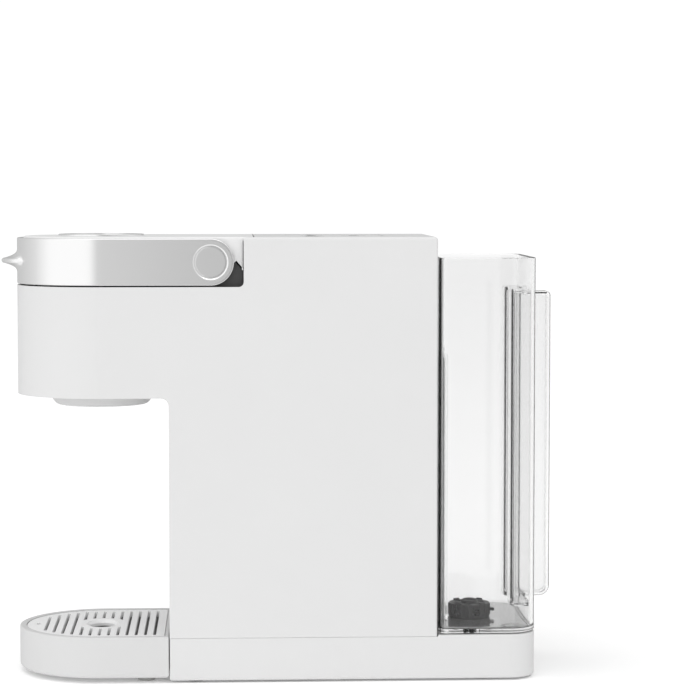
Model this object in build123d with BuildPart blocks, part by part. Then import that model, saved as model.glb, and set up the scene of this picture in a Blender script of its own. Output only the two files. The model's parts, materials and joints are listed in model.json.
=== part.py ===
from build123d import *
import os

# A slim single-serve pod coffee machine, as an assembly of separate pieces.
# Frame: +Z up, the front faces -Y, and the origin is under the middle of the bounding box,
# on the surface that the machine stands on. Every size is in millimetres.

os.makedirs("parts", exist_ok=True)

# ---- Driving dimensions ----
width = 118.0
half_width = width / 2
nose_front_y = -182.8                       # front of the head and of the drip tray
nose_center_y = nose_front_y + half_width   # the head and tray end in a half round
lip_tip_y = -193.7                          # tip of the handle's thumb lip
column_front_y = -75.6
body_rear_y = 109.2
tank_rear_y = 178.6
fin_back_y = 193.7                          # back of the tank's grip fin
body_top_z = 307.5
seam_z = 31.0                               # joint between base and column
head_bottom_z = 197.0
ledge_z = 273.3                             # top edge of the head below the handle
notch_y = -24.0                             # where the column rises behind the lid
wall = 2.5
fit_gap = 0.3

pivot_y = -46.6
pivot_z = 290.3
pin_radius = 4.0
pin_clearance = 0.05

pod_plane = Plane.XZ.offset(-nose_center_y)     # upright plane through the pod's axis
pod_axis = Axis((0, nose_center_y, 0), (0, 0, 1))
pivot_plane = Plane(origin=(0, pivot_y, pivot_z), z_dir=(1, 0, 0))
upwards = (Align.CENTER, Align.CENTER, Align.MIN)       # a solid that starts at its place
downwards = (Align.CENTER, Align.CENTER, Align.MAX)     # and one that ends there


def write_piece(piece, label):
    """Names a finished piece and writes its STEP file."""
    piece.part.label = label
    export_step(piece.part, f"parts/{label}.step")


def nose_plan(inset, rear_y):
    """Plan of the head and tray: straight sides that end in a half round at the front."""
    reach = half_width - inset
    with BuildSketch() as plan:
        with BuildLine():
            Polyline((-reach, nose_center_y), (-reach, rear_y), (reach, rear_y), (reach, nose_center_y))
            ThreePointArc((reach, nose_center_y), (0, nose_center_y - reach), (-reach, nose_center_y))
        make_face()
    return plan.sketch


def round_block(half_x, front_y, rear_y, front_corner, rear_corner):
    """Rectangular plan, symmetric about X = 0, with its own radius at the front and rear corners."""
    with BuildSketch() as plan:
        with Locations((0, (front_y + rear_y) / 2)):
            Rectangle(2 * half_x, rear_y - front_y)
        if front_corner > 0:
            fillet(plan.vertices().group_by(Axis.Y)[0], front_corner)
        if rear_corner > 0:
            fillet(plan.vertices().group_by(Axis.Y)[-1], rear_corner)
    return plan.sketch


def side_outline(points):
    """Closed outline of (Y, Z) points, drawn in its own plane for Plane.YZ."""
    with BuildSketch() as outline:
        with BuildLine():
            Polyline(*points, close=True)
        make_face()
    return outline.sketch


def hose(points, bends, outer_radius, bore_radius):
    """Hose along straight runs joined by tangent arcs, with one bend radius for each corner."""
    with BuildPart() as tube:
        with BuildLine() as route:
            FilletPolyline(*points, radius=bends)
        with BuildSketch(Plane(origin=route.line @ 0, z_dir=route.line % 0)):
            Circle(outer_radius)
            Circle(bore_radius, mode=Mode.SUBTRACT)
        sweep()
    return tube


def coil(center, direction, radius, wire_radius, pitch, height):
    """Round-wire coil spring that starts at center and runs along direction."""
    with BuildPart() as spring:
        with BuildLine() as turns:
            Helix(pitch=pitch, height=height, radius=radius, center=center, direction=direction)
        with BuildSketch(Plane(origin=turns.line @ 0, z_dir=turns.line % 0)):
            Circle(wire_radius)
        sweep()
    return spring


def screws(places, head_radius, head_height, shank_radius, shank_length):
    """Pan-head screws with a six-sided recess. A place is the point under the head, with Z out of it."""
    with BuildPart() as group:
        with Locations(*places):
            Cylinder(head_radius, head_height, align=upwards)
            Cylinder(shank_radius, shank_length, align=downwards)
        head_tops = [place * Pos(0, 0, head_height) for place in places]
        for top in head_tops:
            with BuildSketch(Plane(top)):
                RegularPolygon(head_radius * 0.5, 6)
        extrude(amount=-head_height * 0.6, mode=Mode.SUBTRACT)
    return group


# ---- Base: casing, floor plate, feet, screws ----
foot_height = 1.5
base_bottom_z = foot_height
deck_z = 32.2                # the tank stands on this raised part of the base
deck_front_y = body_rear_y + 0.6
base_rear_corner = 19.0
base_front_corner = 1.0
plate_thickness = 2.0
boss_radius = 4.0
screw_shank = 1.4
screw_pilot = 1.5
boss_places = [(48, -62), (-48, -62), (50, 40), (-50, 40), (36, 164), (-36, 164)]
valve_y = 137.0              # centre of the tank's outlet valve
dock_hole_radius = 14.0
latch_window = (13.0, 7.0)   # windows in the base's front wall for the tray's hooks
latch_window_x = 32.0
latch_window_z = 12.0
gland_x = -28.0
gland_z = 15.0
gland_radius = 6.5

with BuildPart() as base_shell:
    with BuildSketch(Plane.XY.offset(base_bottom_z)):
        add(round_block(half_width, column_front_y, tank_rear_y, base_front_corner, base_rear_corner))
    extrude(amount=seam_z - base_bottom_z)
    with BuildSketch(Plane.XY.offset(seam_z)):
        add(round_block(half_width, deck_front_y, tank_rear_y, 0.8, base_rear_corner))
    extrude(amount=deck_z - seam_z)
    fillet(base_shell.edges().group_by(Axis.Z)[-1], 1.0)
    fillet(base_shell.edges().group_by(Axis.Z)[0], 2.2)
    with BuildSketch(Plane.XY.offset(base_bottom_z)):
        add(round_block(half_width - wall, column_front_y + wall, tank_rear_y - wall, 1.0,
                        base_rear_corner - wall))
    extrude(amount=seam_z - wall - base_bottom_z, mode=Mode.SUBTRACT)
    with Locations(*[(x, y, base_bottom_z + plate_thickness) for x, y in boss_places]):
        Cylinder(boss_radius, seam_z - wall - base_bottom_z - plate_thickness,
                 align=upwards)
    with Locations(*[(x, y, base_bottom_z + plate_thickness) for x, y in boss_places]):
        Cylinder(screw_pilot, 12, align=upwards, mode=Mode.SUBTRACT)
    # large opening under the column, for the pump and hoses
    with BuildSketch(Plane.XY.offset(seam_z - wall - 1)):
        add(round_block(half_width - 12, column_front_y + 26, body_rear_y - 14, 6, 6))
    extrude(amount=wall + 2, mode=Mode.SUBTRACT)
    # low rim that locates the column
    with BuildSketch(Plane.XY.offset(seam_z)) as rim:
        rim_gap = wall + fit_gap
        add(round_block(half_width - rim_gap, column_front_y + rim_gap, body_rear_y - 4, 1, 1))
        offset(amount=-2, mode=Mode.SUBTRACT)
    extrude(amount=3)
    with Locations((0, valve_y, deck_z)):
        Hole(dock_hole_radius, depth=wall * 2)
    with BuildSketch(Plane.XZ.offset(-column_front_y)):
        with Locations((latch_window_x, latch_window_z), (-latch_window_x, latch_window_z)):
            RectangleRounded(*latch_window, 1.5)
    extrude(amount=-(wall + 1), mode=Mode.SUBTRACT)
    with Locations(Plane(origin=(gland_x, tank_rear_y, gland_z), z_dir=(0, 1, 0))):
        Hole(gland_radius, depth=wall * 2)
write_piece(base_shell, "base_shell")

foot_places = [(46, -58), (-46, -58), (44, 142), (-44, 142)]
foot_radius = 7.0
with BuildPart() as base_plate:
    with BuildSketch(Plane.XY.offset(base_bottom_z)):
        inset = wall + fit_gap
        add(round_block(half_width - inset, column_front_y + inset, tank_rear_y - inset, 1,
                        base_rear_corner - inset))
    extrude(amount=plate_thickness)
    with BuildSketch(Plane.XY.offset(base_bottom_z)):
        with GridLocations(0, 9, 1, 9):
            SlotOverall(56, 3.2)
    extrude(amount=plate_thickness, mode=Mode.SUBTRACT)
    with Locations(*[(x, y, base_bottom_z) for x, y in boss_places]):
        Cylinder(screw_pilot, plate_thickness, align=upwards, mode=Mode.SUBTRACT)
        Cylinder(3.2, 1.2, align=upwards, mode=Mode.SUBTRACT)
write_piece(base_plate, "base_plate")

with BuildPart() as base_feet:
    with Locations(*[(x, y, 0) for x, y in foot_places]):
        Cylinder(foot_radius, foot_height, align=upwards)
    chamfer(base_feet.edges().group_by(Axis.Z)[0], 0.4)
write_piece(base_feet, "base_feet")

screw_down = [Location((x, y, base_bottom_z + 1.2), (180, 0, 0)) for x, y in boss_places]
write_piece(screws(screw_down, 2.6, 1.0, screw_shank, 8), "base_screws")

# ---- Body shell: head and column in one moulding ----
throat_radius = 5.5          # concave corner between the head's underside and the column
notch_radius = 3.5
top_round = 2.5
swing_clear = 34.6           # the lid's tail turns inside this radius about the pivot
tail_radius = 33.9
panel_half_x = 41.0
panel_front_y = 6.0
panel_rear_y = 74.0
panel_corner = 10.0

with BuildPart() as body_cavity:
    with BuildSketch(Plane.XY):
        add(nose_plan(wall, body_rear_y + 5))
    extrude(amount=body_top_z)
    with BuildSketch(Plane.YZ):
        inner_front = column_front_y + wall
        head_floor_end = column_front_y - 7
        add(side_outline([
            (nose_front_y, head_bottom_z - 5), (head_floor_end, head_bottom_z - 5),
            (head_floor_end, head_bottom_z + wall), (inner_front, head_bottom_z + wall),
            (inner_front, seam_z - 5), (body_rear_y + 5, seam_z - 5),
            (body_rear_y + 5, body_top_z - wall), (nose_front_y, body_top_z - wall),
        ]))
    extrude(amount=half_width, both=True, mode=Mode.INTERSECT)

with BuildPart() as body_shell:
    with BuildSketch(Plane.XY.offset(seam_z)):
        add(nose_plan(0, body_rear_y))
    extrude(amount=body_top_z - seam_z)
    with BuildSketch(Plane.YZ) as silhouette:
        add(side_outline([
            (nose_front_y - 1, head_bottom_z), (column_front_y, head_bottom_z), (column_front_y, seam_z),
            (body_rear_y, seam_z), (body_rear_y, body_top_z), (notch_y, body_top_z),
            (notch_y, ledge_z), (nose_front_y - 1, ledge_z),
        ]))
        fillet(silhouette.vertices().sort_by_distance((column_front_y, head_bottom_z))[0], throat_radius)
        fillet(silhouette.vertices().sort_by_distance((notch_y, ledge_z))[0], notch_radius)
    extrude(amount=half_width + 1, both=True, mode=Mode.INTERSECT)
    fillet(body_shell.edges().filter_by(Axis.Z).sort_by(Axis.Y)[-2:], 1.5)
    fillet(body_shell.edges().group_by(Axis.Z)[-1], top_round)
    chamfer(body_shell.edges().group_by(Axis.Z)[0], 0.4)
    add(body_cavity.part, mode=Mode.SUBTRACT)
    # the lid's tail swings through the front of the top plate
    with Locations(pivot_plane):
        Cylinder(swing_clear, 2 * (half_width - wall), mode=Mode.SUBTRACT)
    with BuildSketch(Plane.XY.offset(body_top_z - wall - 1)):
        add(round_block(panel_half_x, panel_front_y, panel_rear_y, panel_corner, panel_corner))
    extrude(amount=wall + 2, mode=Mode.SUBTRACT)
write_piece(body_shell, "body_shell")

# ---- Rear cover with the rail that guides the tank ----
rail_half_x = 16.0
rail_depth = 6.3
rail_top_z = 223.0
rear_screw_places = [(46, 60), (-46, 60), (46, 285), (-46, 285)]
cover_half_x = half_width - wall - fit_gap

with BuildPart() as rear_cover:
    with BuildSketch(Plane.XZ.offset(-body_rear_y)):
        with Locations((0, (seam_z + 1.5 + body_top_z - wall - fit_gap) / 2)):
            Rectangle(2 * cover_half_x, body_top_z - wall - fit_gap - seam_z - 1.5)
    extrude(amount=wall)
    with BuildSketch(Plane.YZ) as rail:
        add(side_outline([
            (body_rear_y - 1, deck_z + 0.3), (body_rear_y + rail_depth, deck_z + 0.3),
            (body_rear_y + rail_depth, rail_top_z), (body_rear_y - 1, rail_top_z),
        ]))
        fillet(rail.vertices().sort_by_distance((body_rear_y + rail_depth, rail_top_z))[0], 5)
    extrude(amount=rail_half_x, both=True)
    with Locations(*[Plane(origin=(x, body_rear_y, z), z_dir=(0, 1, 0)) for x, z in rear_screw_places]):
        CounterBoreHole(screw_pilot, 3.0, 1.2, depth=wall)
write_piece(rear_cover, "rear_cover")

screw_rear = [Plane(origin=(x, body_rear_y - 1.2, z), z_dir=(0, 1, 0)).location
              for x, z in rear_screw_places]
write_piece(screws(screw_rear, 2.6, 1.0, screw_shank, 8), "rear_cover_screws")

# ---- Head: underside cover, inner frame, pivot pins ----
funnel_radius = 37.6
holder_flange = 33.5
frame_deck_z = 271.2
frame_deck_thickness = 3.0
cheek_inner_x = 46.0
cheek_outer_x = 51.9
lid_skirt_outer = 54.5
lid_skirt_inner = 52.3
gusset_slot_x = 54.7
swivel_x = 24.0              # rotary joint that carries the hot water into the lid
hook_y = -170.0

with BuildPart() as head_bottom_cover:
    with BuildSketch(Plane.XY.offset(head_bottom_z + 0.3)):
        add(nose_plan(wall + fit_gap, column_front_y - 7.3))
        with Locations((0, nose_center_y)):
            Circle(funnel_radius + 0.5, mode=Mode.SUBTRACT)
    extrude(amount=2.2)
write_piece(head_bottom_cover, "head_bottom_cover")

with BuildPart() as head_frame:
    # curved wall behind the lid's tail, closed below by a strip of floor
    with BuildSketch(Plane.YZ):
        with Locations((pivot_y, pivot_z)):
            Circle(swing_clear + 2)
            Circle(swing_clear, mode=Mode.SUBTRACT)
        with Locations((pivot_y + 32, (frame_deck_z - 3 + body_top_z - wall - fit_gap) / 2)):
            Rectangle(26, body_top_z - wall - fit_gap - frame_deck_z + 3, mode=Mode.INTERSECT)
    extrude(amount=cheek_outer_x, both=True)
    with BuildSketch(Plane.XY.offset(frame_deck_z - frame_deck_thickness)):
        add(nose_plan(wall + fit_gap, notch_y + 6.5))
        with Locations((0, nose_center_y)):
            Circle(30, mode=Mode.SUBTRACT)
        with Locations((0, hook_y - 1)):
            Rectangle(18, 11, mode=Mode.SUBTRACT)
        # slots beside the cheeks, where the lid's side walls dip as it opens
        with Locations((gusset_slot_x, (notch_y - 60) / 2), (-gusset_slot_x, (notch_y - 60) / 2)):
            Rectangle(5.2, 54, mode=Mode.SUBTRACT)
        # passage for the hot water hose
        with Locations((swivel_x, pivot_y)):
            Circle(6.5, mode=Mode.SUBTRACT)
    extrude(amount=frame_deck_thickness)
    # recess that seats the pod holder's flange
    with Locations((0, nose_center_y, frame_deck_z)):
        CounterBoreHole(30, holder_flange + 0.4, 1.8, depth=frame_deck_thickness)
    # cheeks that carry the pivot pins, cut back to stay under the lid's tail when it is open
    for side in (-1, 1):
        with BuildSketch(Plane.YZ.offset(side * cheek_inner_x)):
            add(side_outline([
                (pivot_y - 15, frame_deck_z - 12), (pivot_y + 22, frame_deck_z - 12),
                (pivot_y + 22, pivot_z - 6), (pivot_y + 9.2, pivot_z + 9.2),
                (pivot_y - 9.2, pivot_z + 9.2), (pivot_y - 15, pivot_z + 3),
            ]))
        extrude(amount=side * (cheek_outer_x - cheek_inner_x))
    with Locations(pivot_plane):
        Cylinder(pin_radius, 2 * cheek_outer_x + 2, mode=Mode.SUBTRACT)
write_piece(head_frame, "head_frame")

pin_tip_x = 57.1
with BuildPart() as pivot_pins:
    for side in (-1, 1):
        with Locations(Plane(origin=(side * 38, pivot_y, pivot_z), z_dir=(side, 0, 0))):
            Cylinder(pin_radius, pin_tip_x - 38, align=upwards)
    chamfer(pivot_pins.edges().group_by(Axis.X)[0] + pivot_pins.edges().group_by(Axis.X)[-1], 0.4)
write_piece(pivot_pins, "pivot_pins")

# ---- Pod holder, funnel and exit needle ----
holder_top_radius = 27.0
holder_floor_z = 224.0
holder_top_z = frame_deck_z + 0.6
funnel_bottom_z = 189.0

with BuildPart() as pod_holder:
    with BuildSketch(pod_plane):
        with BuildLine():
            Polyline((4, holder_floor_z), (21, holder_floor_z), (holder_top_radius, holder_top_z - 2.2),
                     (holder_flange, holder_top_z - 2.2), (holder_flange, holder_top_z),
                     (25.2, holder_top_z), (19.4, holder_floor_z + 2), (4, holder_floor_z + 2), close=True)
        make_face()
    revolve(axis=pod_axis)
write_piece(pod_holder, "pod_holder")

with BuildPart() as pod_funnel:
    with BuildSketch(pod_plane) as dish:
        with BuildLine():
            Polyline((5, funnel_bottom_z), (32, funnel_bottom_z), (funnel_radius, head_bottom_z - 0.6),
                     (funnel_radius, head_bottom_z + 7), (28, 221.5), (28, holder_floor_z - 0.6),
                     (25.5, holder_floor_z - 0.6), (25.5, 219.5), (funnel_radius - 2.5, head_bottom_z + 5),
                     (funnel_radius - 2.5, head_bottom_z), (30, funnel_bottom_z + 4),
                     (5, funnel_bottom_z + 2.5), close=True)
        make_face()
        fillet(dish.vertices().sort_by_distance((32, funnel_bottom_z))[0], 4)
        fillet(dish.vertices().sort_by_distance((funnel_radius, head_bottom_z - 0.6))[0], 3)
    revolve(axis=pod_axis)
write_piece(pod_funnel, "pod_funnel")

with BuildPart() as exit_needle:
    with BuildSketch(pod_plane):
        with BuildLine():
            Polyline((1.2, holder_floor_z - 4), (3.9, holder_floor_z - 4), (3.9, holder_floor_z + 2),
                     (6, holder_floor_z + 2), (6, holder_floor_z + 3), (2.4, holder_floor_z + 3),
                     (1.4, holder_floor_z + 12), (1.2, holder_floor_z + 12), close=True)
        make_face()
    revolve(axis=pod_axis)
write_piece(exit_needle, "exit_needle")

# ---- Lid: cover, medallion, liner, needle, gasket, hook, screws ----
lid_thickness = 2.5
skirt_bottom_z = 276.0
medallion_radius = 30.0
medallion_height = 1.2

with BuildPart() as lid_tail_cut:
    with Locations(pivot_plane):
        Cylinder(tail_radius, 2 * half_width)
    with Locations((0, (nose_front_y + pivot_y) / 2, pivot_z)):
        Box(2 * half_width, pivot_y - nose_front_y, 60)

with BuildPart() as lid_cover:
    with BuildSketch(Plane.XY.offset(skirt_bottom_z)):
        add(nose_plan(half_width - lid_skirt_outer, notch_y + 8))
    extrude(amount=body_top_z - skirt_bottom_z)
    with BuildSketch(Plane.YZ):
        add(side_outline([
            (nose_front_y, skirt_bottom_z), (pivot_y - 14, skirt_bottom_z), (pivot_y + 6, pivot_z - 9),
            (-28.9, pivot_z + 0.9), (notch_y - 0.6, pivot_z - 4.2),
            (notch_y - 0.6, body_top_z - lid_thickness), (notch_y + 20, body_top_z - lid_thickness),
            (notch_y + 20, body_top_z), (nose_front_y, body_top_z),
        ]))
    extrude(amount=half_width, both=True, mode=Mode.INTERSECT)
    fillet(lid_cover.edges().group_by(Axis.Z)[-1].sort_by(Axis.Y)[:-1], 1.6)
    add(lid_tail_cut.part, mode=Mode.INTERSECT)
    with BuildSketch(Plane.XY.offset(skirt_bottom_z - 1)):
        add(nose_plan(half_width - lid_skirt_inner, notch_y + 8))
    extrude(amount=body_top_z - lid_thickness - skirt_bottom_z + 1, mode=Mode.SUBTRACT)
    with Locations(pivot_plane):
        Cylinder(pin_radius + pin_clearance, 2 * half_width, mode=Mode.SUBTRACT)
write_piece(lid_cover, "lid_cover")

dish_reach = medallion_radius - 2.0
dish_depth = medallion_height * 0.5
dish_curve = (dish_reach**2 + dish_depth**2) / (2 * dish_depth)      # radius of the dished top
with BuildPart() as lid_medallion:
    with Locations((0, nose_center_y, body_top_z)):
        Cylinder(medallion_radius, medallion_height, align=upwards)
    chamfer(lid_medallion.edges().group_by(Axis.Z)[-1], 0.8)
    with Locations((0, nose_center_y, body_top_z + medallion_height - dish_depth + dish_curve)):
        Sphere(dish_curve, mode=Mode.SUBTRACT)
write_piece(lid_medallion, "lid_medallion")

liner_bottom_z = 284.0
with BuildPart() as lid_liner:
    with BuildSketch(Plane.XY.offset(liner_bottom_z)):
        add(nose_plan(half_width - lid_skirt_inner + fit_gap, pivot_y - 20))
    extrude(amount=2)
    with Locations((0, nose_center_y, liner_bottom_z - 8)):
        Cylinder(26, 8, align=upwards)
    fillet(lid_liner.edges().group_by(Axis.Z)[0], 2)
    with Locations((0, nose_center_y, liner_bottom_z)):
        Cylinder(23, 12, align=upwards)
    with Locations((0, nose_center_y, liner_bottom_z - 8)):
        Cylinder(2.3, 30, align=upwards, mode=Mode.SUBTRACT)
        Cylinder(8.2, 4, align=upwards, mode=Mode.SUBTRACT)
    with Locations((38, nose_center_y, liner_bottom_z), (-38, nose_center_y, liner_bottom_z),
                   (0, hook_y + 12, liner_bottom_z)):
        Cylinder(screw_pilot, 4, mode=Mode.SUBTRACT)
write_piece(lid_liner, "lid_liner")

with BuildPart() as entry_needle:
    with BuildSketch(pod_plane):
        with BuildLine():
            Polyline((0.7, 262), (1.1, 262), (2.25, 268), (2.25, 294), (0.7, 294), close=True)
        make_face()
    revolve(axis=pod_axis)
write_piece(entry_needle, "entry_needle")

with BuildPart() as needle_gasket:
    with Locations((0, nose_center_y, liner_bottom_z - 8.8)):
        Cylinder(8.0, 4.6, align=upwards)
        Cylinder(2.35, 4.6, align=upwards, mode=Mode.SUBTRACT)
    chamfer(needle_gasket.edges().group_by(Axis.Z)[0].sort_by(SortBy.LENGTH)[-1], 1.0)
write_piece(needle_gasket, "needle_gasket")

lid_screw_places = [Location((x, y, liner_bottom_z), (180, 0, 0))
                    for x, y in ((38, nose_center_y), (-38, nose_center_y), (0, hook_y + 12))]
write_piece(screws(lid_screw_places, 2.6, 1.4, screw_shank, 8), "lid_screws")

with BuildPart() as latch_hook:
    with BuildSketch(Plane.YZ):
        add(side_outline([
            (hook_y, liner_bottom_z), (hook_y, 262), (hook_y + 5, 262), (hook_y + 5, 264),
            (hook_y + 2.4, 265.5), (hook_y + 2.4, liner_bottom_z),
        ]))
    extrude(amount=6, both=True)
write_piece(latch_hook, "latch_hook")

with BuildPart() as latch_catch:
    with Locations((0, hook_y + 7.5, 262)):
        Box(16, 4, 12)
    with Locations((0, hook_y + 7.5, 255)):
        Box(24, 8, 2.5)
    fillet(latch_catch.edges().filter_by(Axis.X).group_by(Axis.Z)[-1], 1.2)
write_piece(latch_catch, "latch_catch")

# ---- Handle: band with thumb lip, caps, screws ----
band_inner = 55.8
band_bottom_z = 274.2
band_top_z = 306.4
arm_radius = (band_top_z - band_bottom_z) / 2
cap_radius = 10.4
cap_inner_x = 57.2
lip_half_x = 26.0

with BuildPart() as handle_band:
    with BuildSketch(Plane.XY.offset(band_bottom_z)):
        add(nose_plan(0, pivot_y + arm_radius))
        add(nose_plan(half_width - band_inner, pivot_y + arm_radius + 1), mode=Mode.SUBTRACT)
    extrude(amount=band_top_z - band_bottom_z)
    with BuildSketch(Plane.YZ):
        with Locations(((nose_front_y + pivot_y) / 2 - 10, pivot_z)):
            Rectangle(pivot_y - nose_front_y + 20, 2 * arm_radius)
        with Locations((pivot_y, pivot_z)):
            Circle(arm_radius)
    extrude(amount=half_width + 1, both=True, mode=Mode.INTERSECT)
    outer_reach = half_width - 0.1
    long_edges = handle_band.edges().filter_by(lambda e: e.length > 5)
    fillet(long_edges.filter_by(lambda e: (e @ 0.5).X ** 2 + min(0, (e @ 0.5).Y - nose_center_y) ** 2
                                > outer_reach**2), 0.7)
    # thumb lip: a flared beak in side view, cut to a rounded tongue in plan
    with BuildSketch(Plane.YZ) as beak:
        with BuildLine():
            root_y = nose_front_y + 4
            Spline((nose_front_y + 0.8, pivot_z + 9.5), (nose_front_y - 1.6, pivot_z + 4.6),
                   (nose_front_y - 6.5, pivot_z + 2.1), (lip_tip_y + 1.2, pivot_z + 1.5))
            ThreePointArc((lip_tip_y + 1.2, pivot_z + 1.5), (lip_tip_y, pivot_z),
                          (lip_tip_y + 1.2, pivot_z - 1.5))
            Spline((lip_tip_y + 1.2, pivot_z - 1.5), (nose_front_y - 6.5, pivot_z - 2.1),
                   (nose_front_y - 1.6, pivot_z - 4.6), (nose_front_y + 0.8, pivot_z - 9.5))
            Polyline((nose_front_y + 0.8, pivot_z - 9.5), (root_y, pivot_z - 9.5), (root_y, pivot_z + 9.5),
                     (nose_front_y + 0.8, pivot_z + 9.5))
        make_face()
    lip_blank = extrude(amount=lip_half_x, both=True, mode=Mode.PRIVATE)
    with BuildSketch(Plane.XY.offset(pivot_z - 12), mode=Mode.PRIVATE) as tongue:
        with BuildLine():
            Spline((-lip_half_x, nose_center_y - 51), (-15, nose_front_y - 3.4), (0, lip_tip_y),
                   (15, nose_front_y - 3.4), (lip_half_x, nose_center_y - 51),
                   tangents=((0.9, -0.5), (0.9, 0.5)))
            Polyline((lip_half_x, nose_center_y - 51), (20, nose_center_y - 51), (-20, nose_center_y - 51),
                     (-lip_half_x, nose_center_y - 51))
        make_face()
    tongue_block = extrude(tongue.sketch, amount=24, mode=Mode.PRIVATE)
    with BuildSketch(Plane.XY.offset(pivot_z - 12), mode=Mode.PRIVATE) as lid_space:
        with Locations((0, nose_center_y)):
            Circle(band_inner + 0.5)
    lid_core = extrude(lid_space.sketch, amount=24, mode=Mode.PRIVATE)
    add(lip_blank & tongue_block - lid_core)
    # round seats for the caps, with a bevelled edge, and bores that run on the pins
    for side in (-1, 1):
        seat = Plane(origin=(side * cap_inner_x, pivot_y, pivot_z), z_dir=(side, 0, 0))
        with Locations(seat):
            Cylinder(cap_radius + 0.1, 5, align=upwards, mode=Mode.SUBTRACT)
            Cylinder(pin_radius + pin_clearance, 8, mode=Mode.SUBTRACT)
        with BuildSketch(seat.offset(half_width - cap_inner_x - 1.3)):
            Circle(cap_radius + 0.1)
        extrude(amount=1.31, taper=-52, mode=Mode.SUBTRACT)
write_piece(handle_band, "handle_band")

with BuildPart() as handle_caps:
    for side in (-1, 1):
        with Locations(Plane(origin=(side * (cap_inner_x + 0.1), pivot_y, pivot_z), z_dir=(side, 0, 0))):
            Cylinder(cap_radius, half_width - cap_inner_x - 0.4, align=upwards)
    chamfer(handle_caps.edges().group_by(Axis.X)[0] + handle_caps.edges().group_by(Axis.X)[-1], 0.35)
write_piece(handle_caps, "handle_caps")

# ---- Lid spring on the left pin ----
write_piece(coil((-39.2, pivot_y, pivot_z), (-1, 0, 0), 5.4, 0.6, 1.6, 5.6), "lid_spring")

# ---- Control panel and its buttons ----
panel_z = body_top_z - 0.2
button_radius = 9.0
button_gap = 0.25
button_bottom_z = 298.6
cup_button_y = 24.0
power_button_y = 54.0
button_places = {
    "small_cup_button": (-24.0, cup_button_y),
    "medium_cup_button": (0.0, cup_button_y),
    "large_cup_button": (24.0, cup_button_y),
    "power_button": (0.0, power_button_y),
}

with BuildPart() as control_panel:
    with BuildSketch(Plane.XY.offset(body_top_z - wall)):
        add(round_block(panel_half_x - fit_gap, panel_front_y + fit_gap, panel_rear_y - fit_gap,
                        panel_corner - fit_gap, panel_corner - fit_gap))
    extrude(amount=wall - 0.2)
    fillet(control_panel.edges().group_by(Axis.Z)[-1], 0.4)
    with BuildSketch(Plane.XY.offset(body_top_z - wall - 2)):
        add(round_block(panel_half_x + 4, panel_front_y - 4, panel_rear_y + 4, panel_corner, panel_corner))
    extrude(amount=2)
    with Locations(*[(x, y, panel_z) for x, y in button_places.values()]):
        Hole(button_radius + button_gap, depth=10)
write_piece(control_panel, "control_panel")

for name, (x, y) in button_places.items():
    with BuildPart() as button:
        with Locations((x, y, body_top_z - 4.6)):
            Cylinder(button_radius, 4.4, align=upwards)
        fillet(button.edges().group_by(Axis.Z)[-1], 0.5)
        with Locations((x, y, body_top_z - 5.7)):
            Cylinder(button_radius + 1.2, 1.2, align=upwards)
        with Locations((x, y, button_bottom_z)):
            Cylinder(2.5, body_top_z - 5.7 - button_bottom_z, align=upwards)
    write_piece(button, name)

board_z = 292.5
with BuildPart() as button_board:
    with BuildSketch(Plane.XY.offset(board_z)):
        add(round_block(panel_half_x - 2, panel_front_y + 4, panel_rear_y - 4, 3, 3))
    extrude(amount=1.6)
    with Locations(*[(x, y, board_z + 1.6) for x in (-34, 34) for y in (40, 64)]):
        Cylinder(2.5, body_top_z - wall - 2 - board_z - 1.6, align=upwards)
write_piece(button_board, "button_board")

with BuildPart() as button_switches:
    with Locations(*[(x, y, board_z + 1.6) for x, y in button_places.values()]):
        Box(6, 6, 2.2, align=upwards)
        Cylinder(1.7, 3.2, align=upwards)
write_piece(button_switches, "button_switches")

# ---- Drip tray: bowl, slotted plate, feet ----
tray_rear_y = column_front_y - 0.7
tray_top_z = 32.3
tray_bottom_z = 3.6
tray_rim = 4.6
plate_bottom_z = 27.6
plate_top_z = 31.8
slot_pitch = 6.42
slot_width = 2.2
slot_half_x = 47.6
first_slot_y = -163.4
slot_count = 13
clear_half = (20.6, 17.8)    # the slots stop short of an oval field about the finger dish

with BuildPart() as tray_bowl:
    with BuildSketch(Plane.XY.offset(tray_bottom_z)):
        add(nose_plan(0, tray_rear_y))
    extrude(amount=tray_top_z - tray_bottom_z)
    fillet(tray_bowl.edges().group_by(Axis.Z)[0], 2.6)
    fillet(tray_bowl.edges().group_by(Axis.Z)[-1], 0.9)
    with BuildSketch(Plane.XY.offset(plate_bottom_z)):
        add(nose_plan(tray_rim, tray_rear_y - 2.6))
    extrude(amount=10, mode=Mode.SUBTRACT)
    with BuildSketch(Plane.XY.offset(tray_bottom_z + 2.4)):
        add(nose_plan(tray_rim + 3, tray_rear_y - 5))
    extrude(amount=30, mode=Mode.SUBTRACT)
    # hooks that enter the windows in the base
    for side in (-1, 1):
        with Locations((side * latch_window_x, tray_rear_y + 3, latch_window_z)):
            Box(latch_window[0] - 1.2, 8, latch_window[1] - 1.2)
write_piece(tray_bowl, "tray_bowl")

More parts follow.
